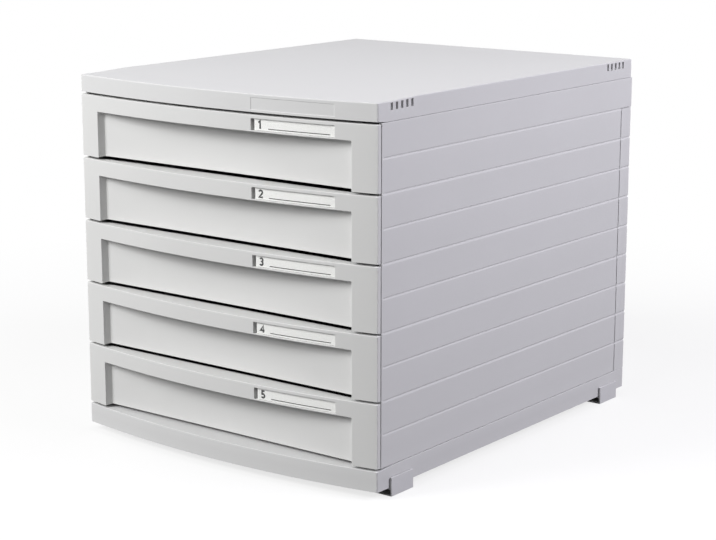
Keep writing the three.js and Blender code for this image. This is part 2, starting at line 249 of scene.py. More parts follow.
# a written colour as light: each channel follows the screen's curve, a straight foot and a power
def linear(hexColour):
    channels = np.array([int(hexColour[k:k + 2], 16) for k in (0, 2, 4)]) / 255
    return (*np.where(channels > 0.04045, ((channels + 0.055) / 1.055) ** 2.4, channels / 12.92), 1.0)


# each of the next six adds one node, sets or links what it reads and gives back what it puts out:
# here a point's own place on the object
def objectPlace(tree):
    return tree.nodes.new("ShaderNodeTexCoord").outputs["Object"]


# a cloudy value of 0 to 1 that changes over a length of one by the scale
def noise(tree, place, scale, detail):
    node = tree.nodes.new("ShaderNodeTexNoise")
    node.inputs["Scale"].default_value = scale
    node.inputs["Detail"].default_value = detail
    tree.links.new(place, node.inputs["Vector"])
    return node.outputs["Fac"]


# the value's share of the first range becomes the same share of the second
def remapped(tree, value, source, result):
    node = tree.nodes.new("ShaderNodeMapRange")
    node.inputs["From Min"].default_value, node.inputs["From Max"].default_value = source
    node.inputs["To Min"].default_value, node.inputs["To Max"].default_value = result
    tree.links.new(value, node.inputs["Value"])
    return node.outputs["Result"]


# two values put through one sum, product or the like
def combined(tree, operation, first, second, clamp=False):
    node = tree.nodes.new("ShaderNodeMath")
    node.operation = operation
    node.use_clamp = clamp
    tree.links.new(first, node.inputs[0])
    tree.links.new(second, node.inputs[1])
    return node.outputs["Value"]


# the first colour where the share is 0, the second where it is 1
def blended(tree, share, first, second):
    node = tree.nodes.new("ShaderNodeMix")
    node.data_type = "RGBA"
    node.inputs[6].default_value = linear(first)
    node.inputs[7].default_value = linear(second)
    tree.links.new(share, node.inputs["Factor"])
    return node.outputs[2]


# the normal tilted by the slope of a height, over the normal of another bump where one is given
def bumped(tree, height, strength, distance, under=None):
    node = tree.nodes.new("ShaderNodeBump")
    node.inputs["Strength"].default_value = strength
    node.inputs["Distance"].default_value = distance
    tree.links.new(height, node.inputs["Height"])
    if under is not None:
        tree.links.new(under, node.inputs["Normal"])
    return node.outputs["Normal"]


plasticLook = {
    "case": {"colour": "d6d6d6", "pale": "dddddd", "rough": 0.46, "grain": 0.10, "grainSize": 0.55 * mm},
    "front": {"colour": "d8d8d7", "pale": "dfdfde", "rough": 0.42, "grain": 0.05,
              "grainSize": 0.45 * mm},
    "tray": {"colour": "d2d2d2", "pale": "dadada", "rough": 0.50, "grain": 0.05, "grainSize": 0.5 * mm},
    "foot": {"colour": "d4d4d5", "pale": "dcdcdd", "rough": 0.48, "grain": 0.05, "grainSize": 0.5 * mm},
}
plasticFinish = {
    "cloudScale": 14,
    "cloudDetail": 4,
    "grainDetail": 2,
    "grainDepth": 0.2 * mm,
    "waveScale": 22,
    "waveDetail": 1,
    "wave": 0.12,
    "waveDepth": 0.8 * mm,
    "noiseRange": (0.3, 0.7),       # what nearly all of a noise lies in
    "paleRange": (0.0, 0.35),
    "glossSwing": 0.05,
    "ior": 1.5,
    "specular": 0.3,
}


# moulded plastic: a cloudy noise varies the colour and the gloss, a fine one gives the grain, a
# broad one the slight waves of a moulded wall, and the edge mark pales the outward edges: rubbed
# wear together with a painted highlight
def plastic(name):
    look, finish = plasticLook[name], plasticFinish
    material, tree, shader = nodeMaterial(name + "Plastic")
    link = tree.links.new
    place = objectPlace(tree)
    cloud = noise(tree, place, finish["cloudScale"], finish["cloudDetail"])
    grain = noise(tree, place, 1 / look["grainSize"], finish["grainDetail"])
    wave = noise(tree, place, finish["waveScale"], finish["waveDetail"])
    # paler outward edges, broken up by the grain: rubbed wear together with a painted highlight
    wearAndHighlight = tree.nodes.new("ShaderNodeAttribute")
    wearAndHighlight.attribute_name = "edgeWearAndHighlight"
    tint = remapped(tree, cloud, finish["noiseRange"], finish["paleRange"])
    wornAndLit = combined(tree, "MULTIPLY", wearAndHighlight.outputs["Fac"], grain)
    pale = combined(tree, "ADD", tint, wornAndLit, clamp=True)
    link(blended(tree, pale, look["colour"], look["pale"]), shader.inputs["Base Color"])
    glossRange = (look["rough"] - finish["glossSwing"], look["rough"] + finish["glossSwing"])
    link(remapped(tree, cloud, finish["noiseRange"], glossRange), shader.inputs["Roughness"])
    fine = bumped(tree, grain, look["grain"], finish["grainDepth"])
    link(bumped(tree, wave, finish["wave"], finish["waveDepth"], fine), shader.inputs["Normal"])
    shader.inputs["IOR"].default_value = finish["ior"]
    shader.inputs["Specular IOR Level"].default_value = finish["specular"]
    return material


casePlastic = plastic("case")
frontPlastic = plastic("front")
trayPlastic = plastic("tray")
footPlastic = plastic("foot")

cardLook = {
    "colour": "f4f4f1",
    "pale": "fdfdfb",
    "scale": 900,
    "detail": 5,
    "fibre": (0.15, 0.05 * mm),     # strength and height of the raised fibres
    "rough": 0.85,
}
inkLook = {"colour": "08080a", "pale": "1a1a1c", "scale": 2500, "detail": 2, "rough": 0.6}
stripLook = {
    "colour": (0.97, 0.98, 0.98, 1),
    "alpha": 0.04,
    "ior": 1.45,
    "smearScale": 60,
    "smearDetail": 3,
    "rough": (0.05, 0.16),
}


# card or ink: a fine noise varies the colour, and raises the fibres where there are any
def stationery(name, look):
    material, tree, shader = nodeMaterial(name)
    grain = noise(tree, objectPlace(tree), look["scale"], look["detail"])
    tree.links.new(blended(tree, grain, look["colour"], look["pale"]), shader.inputs["Base Color"])
    if "fibre" in look:
        tree.links.new(bumped(tree, grain, *look["fibre"]), shader.inputs["Normal"])
    shader.inputs["Roughness"].default_value = look["rough"]
    return material


# the clear strip over a card: nearly see-through, with a gloss that a coarse noise smears
def clearStrip():
    material, tree, shader = nodeMaterial("clearStrip")
    smear = noise(tree, objectPlace(tree), stripLook["smearScale"], stripLook["smearDetail"])
    tree.links.new(remapped(tree, smear, (0, 1), stripLook["rough"]), shader.inputs["Roughness"])
    shader.inputs["Base Color"].default_value = stripLook["colour"]
    shader.inputs["Alpha"].default_value = stripLook["alpha"]
    shader.inputs["IOR"].default_value = stripLook["ior"]
    return material


paper = stationery("cardPaper", cardLook)
ink = stationery("labelInk", inkLook)
clear = clearStrip()
print("materials made")

# the drawer front: a moulded shell with a bar, two posts and a panel set back for the fingers
front = {
    "wall": 2.0 * mm,
    "bar": 12.1 * mm,
    "post": 20.3 * mm,
    "wallDraft": 2.3 * mm,
    "barDraft": 1.0 * mm,
    "sideDepth": 5.3 * mm,          # of the finger recess beside a post
    "middleDepth": 14 * mm,         # of the finger recess below the middle of the bar
    "panelSetback": 1.8 * mm,
    "panelRaise": 1.0 * mm,
    "raiseFade": 4 * mm,            # above the panel's lower edge, where its raise has faded out
    "return": 3.4 * mm,             # from the corner line back to the end of a front's side
    "ledgeBack": 3.8 * mm,
    "ledgeReach": 2 * mm,           # of the deeper ledge, past the recess's ends
    "ledgeFade": 1.5 * mm,
    "edgeRadius": 0.5 * mm,
    "recessRadius": 0.5 * mm,
    "recessSteps": 4,               # on each round turn of the recess
    "cornerRadius": 0.8 * mm,
    "cornerSpare": 2.5,             # radii from the side to the first column on the bow
    "topInset": 0.4 * mm,           # of the ledge's end, inside the arc of the top edge
    "ledgeRows": np.array([0.3, 0.65, 1.0]),  # shares of the way from the top edge to its end
    "flankPoints": 3,               # on a front's side, behind the round corner
    "columns": 56,
    "rows": 9,
    "rowSpare": 4 * mm,             # from the last plain row up to the bar
    "bevel": 0.25 * mm,
}
# the shell's inner side: places from a recess's end, and heights from the bar's lower edge
lining = {
    "widen": np.array([-25, -3, 0.3, 8]) * mm,
    "raise": 0.7 * mm,
    "raiseFade": 6 * mm,
    "barStart": np.array([-3, -1]) * mm,
    "topPlay": 0.1 * mm,
    "endPlay": 0.05 * mm,
    "labelFade": np.array([-2.5, -0.8, 0.8, 2.5]) * mm,
    "behindLabel": 1.4 * mm,
    "behindNotch": 5.4 * mm,
}
label = {
    "sideGap": 33.4 * mm,           # from the side face to the pocket's right end
    "length": 70 * mm,
    "height": 8.6 * mm,
    "belowLedge": 2.5 * mm,
    "depth": 2.1 * mm,
    "draft": 0.15 * mm,
    "notch": 2.0 * mm,              # the slot at the left end that a fingernail goes in
    "notchDepth": 7 * mm,
    "notchDraft": 0.1 * mm,
    "play": 0.3 * mm,
    "card": 0.4 * mm,
    "window": 0.8 * mm,
    "windowBevel": 0.1 * mm,
    "numeral": 5.8 * mm,
    "numeralStart": 3 * mm,
    "stroke": 0.25,                 # of the numeral's height
    "mitreLeast": 0.5,              # keeps a sharp corner of the stroke from growing a spike
    "ink": 0.03 * mm,
    "inkLift": 0.02 * mm,
    "rule": 0.6 * mm,               # a ruled line to write on
    "ruleStart": 12 * mm,
    "ruleEnd": 4 * mm,
}
label["right"] = case["half"] - label["sideGap"]
label["left"] = label["right"] - label["length"]
sameColumn = 0.02 * mm              # places nearer than this to the one before are dropped


# one side of a hollow: offsets into the hollow and the share of its depth there, along a line that
# leaves the face, turns down the wall and turns out on the hollow's floor, both turns being arcs
def wallProfile(draft, depth, radius, steps=2):
    corners = [(-2 * radius, 0), (0, 0), (draft, depth), (draft + 2 * radius, depth)]
    line = roundedLine(corners, radius, steps)
    return line[:, 0], line[:, 1] / depth


# merges several (place, share) lines into sorted places and shares, and adds plain places between
def stations(plain, *lines):
    places = [np.asarray(plain, float)]
    shares = [np.full((len(plain), len(lines)), np.nan)]
    for k, (place, share) in enumerate(lines):
        block = np.full((len(place), len(lines)), np.nan)
        block[:, k] = share
        places.append(np.asarray(place, float))
        shares.append(block)
    places, shares = np.concatenate(places), np.concatenate(shares)
    order = np.argsort(places, kind="stable")
    places, shares = places[order], shares[order]
    for k in range(len(lines)):
        known = ~np.isnan(shares[:, k])
        shares[:, k] = np.interp(places, places[known], shares[known, k])
    keep = np.concatenate([[True], np.diff(places) > sameColumn])
    return places[keep], shares[keep]


# a hollow between two places: its share rises along the first wall and falls along the second
def hollow(start, end, draft, depth, radius, steps=2):
    offset, share = wallProfile(draft, depth, radius, steps)
    return np.concatenate([start + offset, end - offset[::-1]]), np.concatenate([share, share[::-1]])


# plan of the front's path: side return, corner arc, bow, corner arc, side return, with its inward
# normals; shares says how far each point is inside the recess, the label pocket and the notch
def frontPath():
    half, radius, draft = case["half"], front["cornerRadius"], label["draft"]
    recessEnd = half - front["post"]
    recess = hollow(-recessEnd, recessEnd, front["wallDraft"], front["sideDepth"],
                    front["recessRadius"], front["recessSteps"])
    pocket = hollow(label["left"], label["right"], draft, label["depth"], draft)
    notch = hollow(label["left"], label["left"] + label["notch"], label["notchDraft"],
                   label["notchDepth"], label["notchDraft"])
    bowEnd = half - front["cornerSpare"] * radius
    x, shares = stations(np.linspace(-bowEnd, bowEnd, front["columns"]), recess, pocket, notch)
    lean = math.asin((half - radius) / bowRadius)
    angle = math.pi + np.linspace(0, 1, arcPoints)[:-1] * (math.pi / 2 - lean)
    arc = circle((-half + radius, case["cornerLine"] + radius), radius, angle)
    end = case["cornerLine"] + front["return"]
    flankY = np.linspace(end, arc[0, 1], front["flankPoints"] + 1)[:-1]
    flank = np.stack([np.full(len(flankY), -half), flankY], -1)
    left = np.concatenate([flank, arc])
    path = np.concatenate([left, np.stack([x, bowAt(x)], -1), left[::-1] * [-1, 1]])
    pad = np.zeros((len(left), shares.shape[1]))
    return path, leftNormals(np.gradient(path, axis=0)), np.concatenate([pad, shares, pad])


# heights of the front's rows, and how far each is inside the recess and the label pocket
def frontRows(low, barLow, top):
    offset, share = wallProfile(front["barDraft"], front["middleDepth"], front["recessRadius"],
                                front["recessSteps"])
    recess = np.concatenate([[low], (barLow - offset)[::-1]]), np.concatenate([[1.0], share[::-1]])
    high, draft = top - label["belowLedge"], label["draft"]
    pocket = hollow(high - label["height"], high, draft, label["depth"], draft)
    last = top - front["edgeRadius"]
    plain = np.concatenate([np.linspace(low, barLow - front["rowSpare"], front["rows"]), [last]])
    z, share = stations(plain, recess, pocket)
    keep = z <= last + tiny
    return z[keep], share[keep]


# the front's two skins. Outer: a column on the path at a row's height is moved back by the recess's
# depth times both shares, and by the pocket's and the notch's in the same way; the top rows turn
# inwards over an arc and run back over the ledge to a straight line. Inner: the same without the
# pocket, moved back by the wall, wider than the recess by the wall, and further back behind the label
def frontSkins(low):
    path, normal, shareX = frontPath()
    half, wall, cornerLine = case["half"], front["wall"], case["cornerLine"]
    top = low + case["pitch"] - case["frontGap"]
    barLow = top - front["bar"]
    z, shareZ = frontRows(low, barLow, top)
    shareX, shareZ = shareX[None], shareZ[:, None]
    radius = front["edgeRadius"]
    x, y = path.T
    depth = cornerLine + front["panelSetback"] - y
    inRecess = shareZ[:, :, 0] * shareX[:, :, 0]
    setBack = depth * inRecess
    pocketBack = label["depth"] * shareZ[:, :, 1] * shareX[:, :, 1]
    deeper = label["notchDepth"] - label["depth"]
    pocketBack = pocketBack + deeper * shareZ[:, :, 1] * shareX[:, :, 2]
    lowness = np.clip((low + front["raiseFade"] - z) / front["raiseFade"], 0, 1)[:, None]
    lift = front["panelRaise"] * inRecess * lowness
    facePlan = np.stack([np.broadcast_to(x, setBack.shape), y + setBack + pocketBack], -1)
    face = raisedPlan(facePlan, z[:, None] + lift)
    turn = np.linspace(0, math.pi / 2, arcPoints)[1:]
    inward = radius * (1 - np.cos(turn))
    edgeHeights = (top - radius + radius * np.sin(turn))[:, None]
    rounded = raisedPlan(path + inward[:, None, None] * normal, edgeHeights)
    recessEnd = half - front["post"]
    inner = np.clip((recessEnd + front["ledgeReach"] - np.abs(x)) / front["ledgeFade"], 0, 1)
    ledgeEnd = np.stack([x, np.full(len(x), cornerLine + front["return"])], -1)
    ledgeEnd[:, 1] += inner * (front["ledgeBack"] - front["return"])

    # a side's columns end spread over the thickness of the wall
    outside = np.abs(x) > half - wall
    rank = np.cumsum(outside) / outside.sum()
    spread = np.where(x < 0, rank * 2, (1 - rank) * 2)
    sideEnd = half - radius - front["topInset"]
    ledgeEnd[outside, 0] = (np.sign(x) * (sideEnd - spread * wall / 2))[outside]
    share = front["ledgeRows"][:, None, None]
    ledge = raisedPlan(rounded[-1, :, :2] * (1 - share) + ledgeEnd * share, top)
    outer = np.concatenate([face, rounded, ledge])

    # inner skin: places of the columns, heights of the rows, then the depth behind the face
    places = x + np.sign(x) * wall * np.interp(np.abs(x), recessEnd + lining["widen"], [0, 1, 1, 0])
    depths = y + wall
    count = int(outside.sum() // 2)
    flank = np.linspace(cornerLine + front["return"], cornerLine + wall + lining["endPlay"], count)
    places[:count], places[-count:] = -half + wall, half - wall
    depths[:count], depths[-count:] = flank, flank[::-1]
    raised = [0, lining["raise"], lining["raise"], radius - wall - lining["topPlay"]]
    heights = z + np.interp(z, [low, barLow - lining["raiseFade"], barLow, top - radius], raised)
    inBar = np.interp(z, barLow + lining["barStart"], [0, 1])[:, None]
    ends = np.array([label["left"], label["left"], label["right"], label["right"]])
    behind = np.interp(places, ends + lining["labelFade"], [0, 1, 1, 0]) * lining["behindLabel"]
    ends[2:] = label["left"] + label["notch"]
    notched = np.interp(places, ends + lining["labelFade"], [0, 1, 1, 0]) * lining["behindNotch"]
    depths = depths + setBack + (behind + notched) * inBar
    backPlan = np.stack([np.broadcast_to(places, depths.shape), depths], -1)
    back = raisedPlan(backPlan, heights[:, None] + lift)
    risen = np.broadcast_to(back[-1], rounded.shape).copy()
    risen[:, :, 2] += np.linspace(0, lining["topPlay"], arcPoints)[1:, None]
    ledgeEnd[outside, 0] *= (half - wall) / sideEnd
    under = raisedPlan(back[-1, :, :2] * (1 - share) + ledgeEnd * share, top - wall)
    return outer, np.concatenate([back, risen, under])


# a strip that follows the bow between two ends and two heights, at one depth behind the face
def bowStrip(left, right, low, high, depth, thick, columns=24):
    x = np.linspace(left, right, columns)
    grid = raisedPlan(np.stack([x, bowAt(x) + depth], -1), np.array([[low], [high]]))
    return slab(grid, grid + [0, thick, 0])


# an arc as a line of places, from one angle to another in degrees
def arcLine(across, up, radius, start, end, steps=14):
    return circle((across, up), radius, np.radians(np.linspace(start, end, steps)))


# each numeral is one stroke in a box one unit high
numeralStrokes = {
    1: [(0.06, 0.76), (0.34, 0.95), (0.34, 0.0)],
    2: [*arcLine(0.31, 0.68, 0.25, 165, -38), (0.08, 0.07), (0.62, 0.07)],
    3: [*arcLine(0.29, 0.72, 0.21, 150, -72), *arcLine(0.28, 0.30, 0.23, 72, -150)],
    4: [(0.47, 0.0), (0.47, 0.90), (0.07, 0.27), (0.66, 0.27)],
    5: [(0.55, 0.93), (0.18, 0.93), (0.14, 0.55), *arcLine(0.30, 0.31, 0.24, 125, -150)],
}


# a printed numeral: the stroke's line is moved to both sides by half its width along its own
# mitred normals, and the ribbon between them is laid on the bow at one depth
def numeralShell(number, left, low, height, depth):
    line = np.array(numeralStrokes[number])
    normal = leftNormals(np.diff(line, axis=0))
    before, after = normal[np.r_[0, 0:len(normal)]], normal[np.r_[0:len(normal), -1]]
    mitre = mitred(before, after, label["mitreLeast"])
    sides = line + np.array([-0.5, 0.5])[:, None, None] * label["stroke"] * mitre
    x, z = left + sides[:, :, 0] * height, low + sides[:, :, 1] * height
    ribbon = np.stack([x, bowAt(x) + depth, z], -1)
    return slab(ribbon, ribbon + [0, label["ink"], 0])


hook = {
    "count": 3,
    "spread": 84 * mm,
    "width": 12 * mm,
    "thick": 2 * mm,
    "barb": 1 * mm,
    "lift": 16 * mm,
    "catch": 2.3 * mm,              # the tray's wall and its play, from the tray's front face
    "reach": 5.2 * mm,
}


# the snap hooks that hold a front on its tray: a bar with a barb under its tip, carried across the
# hook's width
def snapHooks(line):
    root = case["cornerLine"] + front["panelSetback"] + front["wall"] / 2
    seat = case["cornerLine"] + front["ledgeBack"] + case["seam"]
    low = line + hook["lift"]
    high, under = low + hook["thick"], low - hook["barb"]
    catch, tip = seat + hook["catch"], seat + hook["reach"]
    outline = [(root, low), (catch, low), (catch, under), (tip, under), (tip, high), (root, high)]
    middles = (np.arange(hook["count"]) - (hook["count"] - 1) / 2) * hook["spread"]
    return [barShell(outline, [x - hook["width"] / 2, x + hook["width"] / 2], 0) for x in middles]


# a drawer's front with its hooks, and in its pocket the clear window, the card and the card's print
def drawerFront(number, low):
    body, name = f"drawer_{number}", f"drawer{number}"
    shell = joinShells([slab(*frontSkins(low)), *snapHooks(low - case["frontGap"] / 2)])
    addPiece(name + "Front", shell, frontPlastic, f"drawer_{number}_front", body,
             front["bevel"])
    top = low + case["pitch"] - case["frontGap"]
    high = top - label["belowLedge"] - label["play"]
    bottom = top - label["belowLedge"] - label["height"] + label["play"]
    left = label["left"] + label["notch"] + label["play"]
    right = label["right"] - label["play"]
    shell = bowStrip(left, right, bottom, high, label["play"], label["window"])
    addPiece(name + "Window", shell, clear, f"drawer_{number}_label_window", body,
             label["windowBevel"])
    depth = label["play"] * 2 + label["window"]
    shell = bowStrip(left, right, bottom, high, depth, label["card"])
    addPiece(name + "Card", shell, paper, f"drawer_{number}_label_card", body)
    inkDepth = depth - label["ink"] - label["inkLift"]
    line = (bottom + high) / 2 - label["numeral"] / 2
    shell = numeralShell(number, left + label["numeralStart"], line, label["numeral"], inkDepth)
    addPiece(name + "Numeral", shell, ink, None, body)
    shell = bowStrip(left + label["ruleStart"], right - label["ruleEnd"], line, line + label["rule"],
                     inkDepth, label["ink"])
    addPiece(name + "Rule", shell, ink, None, body)


for number in range(1, case["drawers"] + 1):
    drawerFront(number, case["coverLine"] - number * case["pitch"] + case["frontGap"] / 2)
print("drawer fronts made")

groove = {
    "perDrawer": 2,
    "width": 2.8 * mm,
    "depth": 0.5 * mm,
    "start": 1.6 * mm,              # behind the side panel's front edge
    "fade": 1 * mm,
    "across": np.array([-0.5, -0.3, -0.12, 0, 0.12, 0.3, 0.5]),  # shares of the width
    "sink": np.array([0, 0.35, 0.85, 1, 0.85, 0.35, 0]),         # and of the depth there
}
groovePitch = case["pitch"] / groove["perDrawer"]
grooveHeights = case["coverLine"] - groovePitch * np.arange(1, case["drawers"] * groove["perDrawer"])
wrapTop = grooveHeights[0]


# heights and depth shares of all grooves: across a groove the share rises to 1 and falls again
def grooveStations():
    heights = (grooveHeights[::-1, None] + groove["across"] * groove["width"]).ravel()
    return heights, np.tile(groove["sink"], len(grooveHeights))


side = {
    "ribReach": 7 * mm,
    "ribThick": 2 * mm,
    "ribFront": 2 * mm,             # behind the panel's front edge
    "ribRear": 15.5 * mm,           # ahead of the rear
    "ribStep": 0.05 * mm,           # along the panel, in which a rib rises to its reach
    "ribAcross": np.array([-1, -0.99, -0.01, 0]),  # in thicknesses, from a rib's top
    "ribShare": [0.0, 1, 1, 0],     # of its reach, at these heights
    "edge": 0.5 * mm,
    "edgeShare": 0.96,              # below 1, so that the round edge never quite turns level
    "edgePoints": np.array([0, 0.3, 0.7, 1.0]),  # shares of the edge's width
    "wrap": 16.3 * mm,              # cut away at the rear for the back panel's sides
    "wrapStep": np.array([0.29, 0.31]) * mm,  # above the top of the wrap
    "rim": 4 * mm,                  # the tray's rim below the next drawer's gap
    "play": 0.3 * mm,               # of a tray's flange between its two ribs
    "stop": (6 * mm, 6 * mm, 6.5 * mm),  # length, reach and height
    "stopSetback": 4 * mm,
    "lap": 0.5 * mm,                # of a stop into the rib above it and into the panel
    "round": 0.4 * mm,
    "rows": 21,
    "ribColumns": 12,
    "tailColumns": np.array([0.6, 1.0]),  # shares of the way from the ribs' end to the rear
    "bevel": 0.15 * mm,
}


# the side panel: a sheet on the outer face whose grooves sink in, and one on the inner face whose
# ribs stand out; both run along the panel, and the groove and rib shares fade in behind its edge
def sidePanel(sign, name, node):
    low, high = sideLow.z, case["coverLine"] - case["seam"] / 2
    half, inner = case["half"], case["half"] - case["wall"]
    edge, thick, frontEdge = side["edge"], side["ribThick"], sideLow.y
    ribTops = []                    # of the rib below each tray's flange and of the one above it
    for number in range(case["drawers"]):
        floor = case["baseLine"] + number * case["pitch"]
        flangeTop = floor + case["pitch"] - side["rim"]
        ribTops += [flangeTop - thick - side["play"], flangeTop + side["play"] + thick]
    ribTops = np.array(ribTops)
    ribHeights = (ribTops[:, None] + side["ribAcross"] * thick).ravel()
    ribs = ribHeights, np.tile(side["ribShare"], len(ribTops))
    turn = edge * side["edgePoints"]
    plain = [low + turn, high - turn[::-1], wrapTop + side["wrapStep"],
             np.linspace(low, high, side["rows"])[1:-1]]
    z, share = stations(np.concatenate(plain), grooveStations(), ribs)
    start = frontEdge + groove["start"]
    ribStart, ribEnd = frontEdge + side["ribFront"], case["rear"] - side["ribRear"]
    fixed = np.concatenate([
        frontEdge + turn, [start, start + groove["fade"], ribStart, ribStart + side["ribStep"]],
        np.linspace(ribStart, ribEnd, side["ribColumns"])[1:-1], [ribEnd - side["ribStep"], ribEnd]])

    # the rear end is cut back beside the back panel's wrap
    last = np.where(z > wrapTop + case["seam"], case["rear"], case["rear"] - side["wrap"])
    tail = ribEnd + side["tailColumns"][:, None] * (last - ribEnd)
    y = np.concatenate([np.broadcast_to(np.sort(fixed)[:, None], (len(fixed), len(z))), tail])
    sink = np.clip((y - start) / groove["fade"], 0, 1) * share[:, 0] * groove["depth"]
    nearFront = np.clip((frontEdge + edge - y) / edge, 0, 1)
    nearEnd = np.clip(np.maximum(low + edge - z, z - high + edge) / edge, 0, 1)
    rounded = edge * (1 - np.sqrt(1 - np.maximum(nearFront, nearEnd) ** 2 * side["edgeShare"]))
    onRib = (y > ribStart + side["ribStep"] / 2) & (y < ribEnd - side["ribStep"] / 2)
    reach = onRib * share[:, 1] * side["ribReach"]
    outer = raisedPlan(np.stack([sign * (half - sink - rounded), y], -1), z)
    inward = raisedPlan(np.stack([sign * (inner - reach), y], -1), z)
    sheets = [outer, inward] if sign < 0 else [outer[:, ::-1], inward[:, ::-1]]
    shells = [slab(*sheets)]

    # a stop hangs below the front end of each rib that carries a tray's flange
    length, stopReach, tall = side["stop"]
    place = frontEdge + side["stopSetback"]
    for top in ribTops[::2] - thick:
        outline = boxLoop(sign * (inner - stopReach), sign * (inner + side["lap"]), top - tall,
                          top + side["lap"], side["round"])
        shells.append(barShell(outline[::sign], [place, place + length], 1))
    addPiece(name, joinShells(shells), casePlastic, node, "housing", side["bevel"])


rearPanel = {
    "radius": 0.8 * mm,
    "lipFront": 0.5 * mm,           # between the first two columns of a wrapped side
    "lipRear": 6 * mm,              # from its last column before the corner to the rear
    "step": 0.05 * mm,              # past a side panel's inner face, where the wrapped part starts
    "innerPlay": 0.1 * mm,
    "innerLead": np.array([0.5, 0.02]) * mm,  # of the inner corner's columns, ahead of the inner face
    "footRow": 0.4 * mm,
    "columns": 30,
    "rows": 15,
    "bevel": 0.15 * mm,
}


# the back panel: its path in plan runs up one side, round a corner, across the rear and down the
# other side; the rows are heights, squeezed on the wrapped sides so that they end below the seam
def backPanel():
    half, wall, rear, radius = case["half"], case["wall"], case["rear"], rearPanel["radius"]
    low, high = backLow.z, case["coverLine"] - case["seam"]
    edge = half - wall - case["seam"]
    step = edge + rearPanel["step"]
    x = np.sort(np.concatenate([np.linspace(-edge, edge, rearPanel["columns"]), [-step, step]]))
    turn = np.linspace(0, math.pi / 2, arcPoints)[:-1]
    lipStart = rear - (side["wrap"] - case["seam"])
    lipPlaces = np.array([lipStart, lipStart + rearPanel["lipFront"], rear - rearPanel["lipRear"]])
    lip = np.stack([np.full(len(lipPlaces), half), lipPlaces], -1)
    arc = circle((half - radius, rear - radius), radius, turn)
    right = np.concatenate([lip, arc])
    middle = np.stack([x[::-1], np.full(len(x), rear)], -1)
    path = np.concatenate([right, middle, right[::-1] * [-1, 1]])
    inRight = np.stack([np.full(len(right), half - wall), np.minimum(right[:, 1], rear - wall)], -1)
    inRight[len(lip):, 1] = rear - wall - np.linspace(*rearPanel["innerLead"], len(arc))
    inMiddle = np.stack([x[::-1] * (half - wall - rearPanel["innerPlay"]) / edge,
                         np.full(len(x), rear - wall)], -1)
    inward = np.concatenate([inRight, inMiddle, inRight[::-1] * [-1, 1]])
    plain = [[low, low + rearPanel["footRow"]], np.linspace(low, high, rearPanel["rows"])[1:]]
    z, share = stations(np.concatenate(plain), grooveStations())
    base = grooveHeights[1] + groove["width"]
    wrapped = (np.abs(path[:, 0]) > edge + rearPanel["step"] / 2)[None, :] & (z[:, None] > base)
    squeezed = base + (z - base) * (wrapTop - base) / (high - base)
    height = np.where(wrapped, squeezed[:, None], z[:, None])
    sink = share * groove["depth"] * ~wrapped
    sunk = path + sink[:, :, None] * leftNormals(np.gradient(path, axis=0))
    shell = slab(raisedPlan(sunk, height), raisedPlan(inward, height))
    addPiece("backPanel", shell, casePlastic, "back_panel", "housing",
             rearPanel["bevel"])


lid = {
    "edge": 0.8 * mm,
    "rearSetback": 0.8 * mm,
    "rampDrop": 0.9 * mm,
    "rampFront": 18 * mm,           # both ends behind the corner line
    "rampBack": 46 * mm,
    "rampStep": 1 * mm,             # between the two rows at each end of the ramp
    "slots": 5,
    "slotWidth": 2.5 * mm,
    "slotHeight": 5.6 * mm,
    "slotDepth": 7.5 * mm,
    "slotBelowTop": 1.2 * mm,
    "slotDraft": 0.15 * mm,
    "slotRadius": 0.12 * mm,
    "fieldRecess": 0.3 * mm,        # of the bare name field in the skirt's front
    "fieldMargin": 1.8 * mm,
    "fieldDraft": 0.25 * mm,
    "fieldRadius": 0.2 * mm,
    "faceBand": 0.2 * mm,           # from a face's line, within which a point counts as on the face
    "walls": (9 * mm, 2.5 * mm),    # of the skirt and of the top
    "columns": 48,
    "rows": 40,
    "bevel": 0.2 * mm,
}
foot = {
    "length": 26.4 * mm,
    "setback": 14.3 * mm,
    "reach": 24 * mm,               # under the case, from its side face
    "gap": 0.8 * mm,                # between the case and the plate outside it
    "plate": 1.2 * mm,
    "rise": 7.8 * mm,
    "wall": 2.4 * mm,
    "sole": 1 * mm,
    "web": 1.2 * mm,                # above the hollow that is open in front
    "lap": 0.3 * mm,                # of one of the foot's shells into the next
    "round": 0.25 * mm,
    "bevel": 0.2 * mm,
}
footFronts = (case["cornerLine"] + foot["setback"], case["rear"] - foot["setback"] - foot["length"])
bowFade = 14 * mm                   # behind the front, where a plate's rows have lost its swell
cornerPoints = 5                    # of the rows and columns in a plate's round corner


